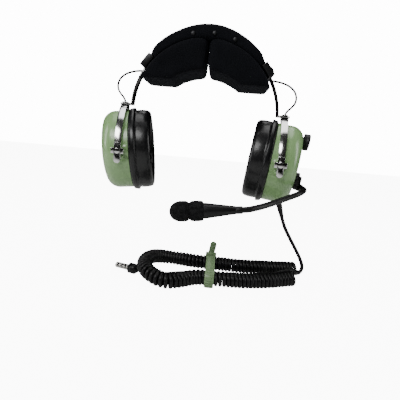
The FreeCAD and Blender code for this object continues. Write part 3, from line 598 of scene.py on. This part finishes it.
def windscreen_mesh():
    side_a = MIC_AXIS.cross(Vector((0, 0, 1))).normalized()
    side_b = MIC_AXIS.cross(side_a)
    rings = []
    fine = []
    for (s0, r0), (s1, r1) in zip(SCREEN, SCREEN[1:]):
        fine += [(s0 + (s1 - s0) * k / 4, r0 + (r1 - r0) * k / 4) for k in range(4)]
    fine.append(SCREEN[-1])
    for s, r in [(44.4, 0.6), (44.4, 9.15)] + fine:
        ring = []
        for j in range(96):
            a = 2 * math.pi * j / 96
            out = side_a * math.cos(a) + side_b * math.sin(a)
            rough = 0.16 * noise.noise((MIC_AXIS * s + out * r) * 0.9) + 0.05 * noise.noise(
                (MIC_AXIS * s + out * r) * 2.7)
            ring.append((MIC_START + MIC_AXIS * s + out * (r + (rough if r > 8 else 0))) * MM)
        rings.append(ring)
    return loft(rings, "windscreen", True)


screen = add("mic_windscreen_soft", windscreen_mesh(), "foam", "boom_body")
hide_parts("mic_windscreen")
print("windscreen made")

# %% [markdown]
# A cord is one smooth line. Its route is a handful of given points, used as the
# control points of a NURBS spline, so it never kinks. A curve with no thickness gives the
# points that everything else follows: the tube's skin and the turns of the curly length.

# %% Routes and tubes
FLOOR = -150.6
CORD_R, COIL_R = 2.5, 9.6


def smooth_line(name, points, steps=24):
    """Evenly spaced points along the NURBS spline that a route's points control."""
    data = bpy.data.curves.new(name, "CURVE")
    data.dimensions = "3D"
    data.resolution_u = steps
    spline = data.splines.new("NURBS")
    spline.points.add(len(points) - 1)
    for control, place in zip(spline.points, points):
        control.co = (*[c * MM for c in place], 1)
    spline.order_u = 3
    spline.use_endpoint_u = True
    holder = bpy.data.objects.new(name, data)
    bpy.context.scene.collection.objects.link(holder)
    bpy.context.view_layer.update()
    line = bpy.data.meshes.new_from_object(holder)
    found = [v.co.copy() for v in line.vertices]
    bpy.data.objects.remove(holder)
    return found


def resample(points, gap):
    total = sum((b - a).length for a, b in zip(points, points[1:]))
    count = max(2, round(total / gap))
    out, at, i = [points[0].copy()], 0.0, 0
    for k in range(1, count):
        want = total * k / count
        while at + (points[i + 1] - points[i]).length < want:
            at += (points[i + 1] - points[i]).length
            i += 1
        share = (want - at) / (points[i + 1] - points[i]).length
        out.append(points[i].lerp(points[i + 1], share))
    return out + [points[-1].copy()]


def length_of(points):
    return sum((b - a).length for a, b in zip(points, points[1:]))


def tube_mesh(points, radius, sides, name):
    """A closed round skin along a line, turned as little as possible from ring to ring."""
    build = bmesh.new()
    tangent = (points[1] - points[0]).normalized()
    across = tangent.orthogonal().normalized()
    rings = []
    for i, place in enumerate(points):
        ahead_point = points[min(i + 1, len(points) - 1)]
        behind = points[max(i - 1, 0)]
        new = (ahead_point - behind).normalized()
        across = (tangent.rotation_difference(new) @ across)
        across = (across - new * across.dot(new)).normalized()
        tangent = new
        other = tangent.cross(across)
        rings.append([build.verts.new(place + (across * math.cos(2 * math.pi * k / sides)
                                               + other * math.sin(2 * math.pi * k / sides)) * radius)
                      for k in range(sides)])
    for a, b in zip(rings, rings[1:]):
        for k in range(sides):
            build.faces.new((a[k], a[(k + 1) % sides], b[(k + 1) % sides], b[k]))
    build.faces.new(reversed(rings[0]))
    build.faces.new(rings[-1])
    bmesh.ops.recalc_face_normals(build, faces=build.faces)
    mesh = bpy.data.meshes.new(name)
    build.to_mesh(mesh)
    build.free()
    mesh.shade_smooth()
    return mesh


RELIEF_DIR = Vector((0.33, 0, -0.944)).normalized()
relief_top = CUP @ Vector((10, 0, -51.0 + 4.5))
RELIEF_TIP = relief_top + RELIEF_DIR * 26.5
LOW = FLOOR + COIL_R + 0.1
TIED = LOW + 1.8
OVER = FLOOR + 18.8
COIL = [Vector(p) for p in (
    (143, -8, LOW), (104, -14, LOW), (68, -22, LOW + 0.6), (43, -23.6, TIED), (11, -23.6, TIED),
    (-12, -17.5, LOW + 0.8), (-32, -18, LOW + 1.8), (-47.5, -28, OVER - 3.5), (-54, -47.5, OVER - 0.5),
    (-53.5, -69, OVER), (-44, -87, OVER - 2.5), (-24, -94, LOW + 1.5), (-6, -84.5, LOW + 0.6),
    (11, -72.6, TIED), (43, -72.6, TIED), (72, -67.5, LOW + 0.5), (102, -58, LOW), (133, -44, LOW))]
LAY = FLOOR + CORD_R + 0.1
OVER_TIE = LAY + 2.2
COIL_IN = (COIL[0] - COIL[1]).normalized()
LEAD_END = COIL[0] + Vector((0, 0, LAY - LOW))
LEAD = [RELIEF_TIP, RELIEF_TIP + RELIEF_DIR * 11] + [Vector(p) for p in (
    (131.5, -1.5, -98), (141, -3, -112.5), (149.5, -4.5, -126), (154.6, -6, -137.5),
    (152.6, -6.6, -145.6))] + [LEAD_END + COIL_IN * 4.6, LEAD_END]
lead_line = resample(smooth_line("lead_line", LEAD), 0.001)
print("lead", round(length_of(lead_line), 4), "m")

# %% [markdown]
# The lead hangs from the cup and lies on the table, and a real one bends when the cup moves.
# Here its whole line is cut into three equal lengths, each made as its own tube and joined
# to no body, so they meet end to end where they are made.

# %% Lead
CUTS = [0.0, 1 / 3, 2 / 3, 1.0]
for part in range(3):
    first = round(CUTS[part] * (len(lead_line) - 1))
    last = round(CUTS[part + 1] * (len(lead_line) - 1))
    line = lead_line[first:last + 1]
    tube = tube_mesh(line, CORD_R * MM, 20, "cord_lead")
    piece = add("cord_lead_" + "abc"[part], tube, "black_rubber", None)
    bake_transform(piece)
    length_of(line)
    if part == 0:
        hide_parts("cord_lead")
print("lead in three lengths")

# %% [markdown]
# The curly length is a helix wound round the smooth line of its row. A frame of directions
# that keeps one of them level all along stops the turns twisting at the bend. Turns crowd
# a little here and there, as they do on a cord that has been folded.

# %% Curly cord
WIRE_R = 2.35
TURNS = 93.5


def helix(line, radius, turns, points_per_turn):
    total = length_of(line)
    even = resample(line, total / 900)
    out = []
    count = int(turns * points_per_turn)
    for k in range(count + 1):
        share = k / count
        place_at = share + 0.0009 * math.sin(share * 41) + 0.0004 * math.sin(share * 97)
        place_at = min(max(place_at, 0), 1) if 0 < k < count else share
        exact = place_at * (len(even) - 1)
        i = min(int(exact), len(even) - 2)
        centre = even[i].lerp(even[i + 1], exact - i)
        along = (even[min(i + 3, len(even) - 1)] - even[max(i - 2, 0)]).normalized()
        level = Vector((0, 0, 1)).cross(along).normalized()
        rise = along.cross(level)
        angle = 2 * math.pi * turns * share - math.pi / 2
        lumps = radius * (1 + 0.012 * math.sin(share * 63) + 0.008 * math.sin(share * 211))
        out.append(centre + (level * math.cos(angle) + rise * math.sin(angle)) * lumps)
    return out


coil_line = smooth_line("coil_line", COIL)
coil_wire = helix(coil_line, (COIL_R - WIRE_R - 0.2) * MM, TURNS, 22)
coil = add("cord_coil_turns", tube_mesh(coil_wire, WIRE_R * MM, 10, "cord_coil"), "black_rubber", "headband")
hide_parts("cord_coil")
length_of(coil_wire)
print("curly length", round(length_of(coil_wire), 3), "m of wire in", TURNS, "turns")

# %% [markdown]
# From the last turn the cord runs plain again. It curls back over, drops between the two
# rows, passes over the tie and under the bend of the hank, and ends in the plug's boot.

# %% Tail and plug
COIL_OUT = (COIL[-1] - COIL[-2]).normalized()
PLUG_DIR = Vector((-0.951, 0.309, 0)).normalized()
BOOT_REAR = Vector((-62, -60, FLOOR + 6.6))
tail_start = coil_wire[-1] / MM
TAIL = [tail_start, tail_start + COIL_OUT * 8] + [Vector(p) for p in (
    (143.5, -30.5, -136.5), (135, -24.8, -138.0), (121, -27, -140), (104, -33.5, -144), (80, -41, LAY + 0.4),
    (58, -44.5, LAY + 1.6), (40, -46, OVER_TIE), (12, -47, OVER_TIE), (-8, -48.5, LAY + 1.4))]
TAIL += [Vector((-25, -55.5, LAY + 0.6)), Vector((-41.5, -61.5, LAY + 1))]
TAIL += [BOOT_REAR - PLUG_DIR * 10, BOOT_REAR]
tail_line = resample(smooth_line("tail_line", TAIL), 0.0014)
tail_tube = tube_mesh(tail_line, CORD_R * MM, 20, "cord_tail")
tail = add("cord_tail_plain", tail_tube, "black_rubber", "headband")
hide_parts("cord_tail")
length_of(tail_line)
print("tail", round(length_of(tail_line), 3), "m")

# %% [markdown]
# On each side a thin wire loops from the headband down to the ear cup, slack enough for
# the stem to slide. It leaves its outlet on the headband and ends in the hollow rivet; it
# is made where it lies and joined to no body.

# %% Crossover loops
LOOP_R = 1.35
LOOP = [Vector(p) for p in (
    (84.9, 12, 105.6), (91.5, 12, 105.4), (100.5, 11.5, 103.6), (109, 10.8, 100.2), (115.6, 9.6, 94.4),
    (118.6, 8, 86.6), (117.4, 6.2, 78.8), (112.4, 3.6, 72.4), (107, 0.8, 67.8), (105, 0, 63.2))]
for side in SIDES:
    flip = 1 if side == "left" else -1
    line = resample(smooth_line("loop_line", [Vector((p.x * flip, p.y, p.z)) for p in LOOP]), 0.001)
    loop = add("crossover_loop_wire_" + side, tube_mesh(line, LOOP_R * MM, 16, "loop"), "black_rubber", None)
    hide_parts("crossover_loop_" + side)
    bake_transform(loop)
    length_of(line)
print("loops", round(length_of(line), 4), "m each")

# %% [markdown]
# Small repeated things are made once and spread by Geometry Nodes: the stitches along the
# sleeve and the rungs of the ladder tie. The tree puts a copy of a small shape at even
# steps along a line, turns it to face the line, makes the copies real and gives them
# their finish. The result is turned into a plain mesh before it joins its body.

# %% Repeats along a line
def repeat_tree(name, material):
    tree = bpy.data.node_groups.new(name, "GeometryNodeTree")
    ids = {}
    tree.interface.new_socket("Geometry", in_out="INPUT", socket_type="NodeSocketGeometry")
    for label, kind in (("Step", "NodeSocketFloat"), ("Size", "NodeSocketVector"),
                        ("Round", "NodeSocketFloat")):
        ids[label] = tree.interface.new_socket(label, in_out="INPUT", socket_type=kind).identifier
    tree.interface.new_socket("Geometry", in_out="OUTPUT", socket_type="NodeSocketGeometry")
    nodes, links = tree.nodes, tree.links
    given = nodes.new("NodeGroupInput")
    curve = nodes.new("GeometryNodeMeshToCurve")
    points = nodes.new("GeometryNodeCurveToPoints")
    points.mode = "LENGTH"
    block = nodes.new("GeometryNodeMeshCube")
    rounded = nodes.new("GeometryNodeSubdivisionSurface")
    rounded.inputs["Level"].default_value = 1
    copies = nodes.new("GeometryNodeInstanceOnPoints")
    real = nodes.new("GeometryNodeRealizeInstances")
    painted = nodes.new("GeometryNodeSetMaterial")
    painted.inputs["Material"].default_value = material
    result = nodes.new("NodeGroupOutput")
    links.new(given.outputs["Geometry"], curve.inputs["Mesh"])
    links.new(curve.outputs["Curve"], points.inputs["Curve"])
    links.new(given.outputs["Step"], points.inputs["Length"])
    links.new(given.outputs["Size"], block.inputs["Size"])
    links.new(given.outputs["Round"], rounded.inputs["Edge Crease"])
    links.new(block.outputs["Mesh"], rounded.inputs["Mesh"])
    links.new(points.outputs["Points"], copies.inputs["Points"])
    links.new(rounded.outputs["Mesh"], copies.inputs["Instance"])
    links.new(points.outputs["Rotation"], copies.inputs["Rotation"])
    links.new(copies.outputs["Instances"], real.inputs["Geometry"])
    links.new(real.outputs["Geometry"], painted.inputs["Geometry"])
    links.new(painted.outputs["Geometry"], result.inputs["Geometry"])
    return tree, ids


def repeat_along(name, lines, step, size, rounding, material_slot, body):
    """A plain mesh of small blocks at even steps along lines of points. Size runs across, up and along."""
    base = bpy.data.meshes.new(name + "_lines")
    verts, edges = [], []
    for line in lines:
        start = len(verts)
        verts += [tuple(p) for p in line]
        edges += [(start + k, start + k + 1) for k in range(len(line) - 1)]
    base.from_pydata(verts, edges, [])
    holder = bpy.data.objects.new(name + "_lines", base)
    bpy.context.scene.collection.objects.link(holder)
    tree, ids = repeat_tree(name, FINISH[material_slot])
    modifier = holder.modifiers.new("repeat", "NODES")
    modifier.node_group = tree
    modifier[ids["Step"]] = step
    modifier[ids["Size"]] = size
    modifier[ids["Round"]] = rounding
    bpy.context.view_layer.update()
    mesh = bpy.data.meshes.new_from_object(holder.evaluated_get(bpy.context.evaluated_depsgraph_get()))
    holder.modifiers.clear()
    bpy.data.objects.remove(holder)
    mesh.name = name
    mesh.shade_smooth()
    print(name, len(mesh.polygons), "faces")
    return add(name, mesh, material_slot, body)


STITCH_R = 96.45
STITCH_SHARE = 0.83
stitch_lines = []
for edge in (-1, 1):
    across = edge * SLEEVE_HALF_W * STITCH_SHARE
    halves = [a * 0.5 for a in range(-88, 89)]
    stitch_lines.append([on_arc(STITCH_R + crown_lift(a), a, across) for a in halves])
repeat_along("sleeve_stitches", stitch_lines, 0.0034, (0.0005, 0.0005, 0.0022), 0.3, "pad_fabric", "headband")

# %% [markdown]
# The tie is a ladder strap: its rungs stand proud of the band so that the head can lock
# on them. The rungs follow the strap over the top of both rows and up its free end.

# %% Tie rungs
TIE_SLACK = 0.4
TIE_T = 1.4
TIE_OUT = COIL_R + TIE_SLACK + TIE_T
TIE_X, BACK_Y, FRONT_Y = 27.0, -23.6, -72.6
around = []
for k in range(37):
    angle = math.radians(90 + 4 * k)
    y, z = FRONT_Y + TIE_OUT * math.cos(angle), TIED + TIE_OUT * math.sin(angle)
    around.append(Vector((TIE_X, y, z)) * MM)
top_line = [Vector((TIE_X, y, TIED + TIE_OUT)) * MM for y in range(-31, -72, -2)]
tail_turn = Matrix.Rotation(math.radians(10), 3, "Y") @ Matrix.Rotation(math.radians(-14), 3, "X")
tail_foot = Vector((TIE_X, BACK_Y - 2, TIED + TIE_OUT + 2))
tail_rungs = [(tail_foot + tail_turn @ Vector((0, -0.7, t))) * MM for t in range(2, 15)]
repeat_along("tie_rungs", [top_line + around, tail_rungs], 0.0031, (0.0096, 0.0017, 0.0016), 0.3,
             "tie_nylon", "headband")

# %% [markdown]
# The cord lies on a plain pale table in soft studio light: a large light above and to
# the front, a weaker one on each side and a broad one overhead. Seen straight on, table and
# background are evenly bright; what polished steel reflects is a dimmer surround with soft panels.

# %% Table and light
table = bpy.data.meshes.new("table")
TABLE_HALF = 3
TABLE_CORNERS = ((-1, -1), (1, -1), (1, 1), (-1, 1))
table.from_pydata([(x * TABLE_HALF, y * TABLE_HALF, FLOOR * MM) for x, y in TABLE_CORNERS], [],
                  [(0, 1, 2, 3)])
floor_piece = bpy.data.objects.new("table", table)
bpy.context.scene.collection.objects.link(floor_piece)
floor_paint, floor_shader, floor_place = finish_of("table_paint", roughness=0.7)
connect(floor_place, floor_shader, floor_place.noise(3, 4).colours((0.80, 0.80, 0.79), (0.84, 0.84, 0.83)))
seen = floor_place.node("ShaderNodeLightPath")
floor_shader.inputs["Emission Color"].default_value = (1, 1, 1, 1)
floor_place.tree.links.new((seen * 10.0).socket, floor_shader.inputs["Emission Strength"])
table.materials.append(floor_paint)

world = bpy.data.worlds.new("studio")
bpy.context.scene.world = world
world.use_nodes = True
sky_tree = world.node_tree
glow = sky_tree.nodes["Background"]
backdrop = sky_tree.nodes.new("ShaderNodeBackground")
backdrop.inputs["Strength"].default_value = 14.0
backdrop.inputs["Color"].default_value = (1, 1, 1, 1)
ray = sky_tree.nodes.new("ShaderNodeLightPath")
choose = sky_tree.nodes.new("ShaderNodeMixShader")
round_about = Value(sky_tree, sky_tree.nodes.new("ShaderNodeTexCoord").outputs["Generated"])
height = round_about.node("ShaderNodeSeparateXYZ", {0: round_about}, out=2)
level = height.above(-0.05, 0.75)
panels = round_about.node("ShaderNodeTexWave", {"Vector": round_about, "Scale": 0.7, "Distortion": 1.2},
                          bands_direction="X").above(0.35, 0.6)
sky_tree.links.new((0.03 + level * 0.22 + panels * 0.25 * level).socket, glow.inputs["Strength"])
sky_tree.links.new(ray.outputs["Is Camera Ray"], choose.inputs[0])
sky_tree.links.new(glow.outputs[0], choose.inputs[1])
sky_tree.links.new(backdrop.outputs[0], choose.inputs[2])
sky_tree.links.new(choose.outputs[0], sky_tree.nodes["World Output"].inputs["Surface"])


def softbox(name, place, size, watts):
    lamp = bpy.data.lights.new(name, "AREA")
    lamp.shape = "RECTANGLE"
    lamp.size, lamp.size_y = size
    lamp.energy = watts
    holder = bpy.data.objects.new(name, lamp)
    bpy.context.scene.collection.objects.link(holder)
    aim = (Vector((0, 0, 0)) - Vector(place)).to_track_quat("-Z", "Y")
    holder.matrix_world = Matrix.Translation(Vector(place)) @ aim.to_matrix().to_4x4()


softbox("key", (-0.35, -0.85, 0.70), (0.6, 0.4), 7.5)
softbox("left_fill", (-0.95, -0.25, 0.30), (0.25, 0.7), 3.5)
softbox("right_fill", (0.95, -0.20, 0.30), (0.25, 0.7), 3)
softbox("top", (0.0, 0.20, 1.00), (0.9, 0.9), 8)
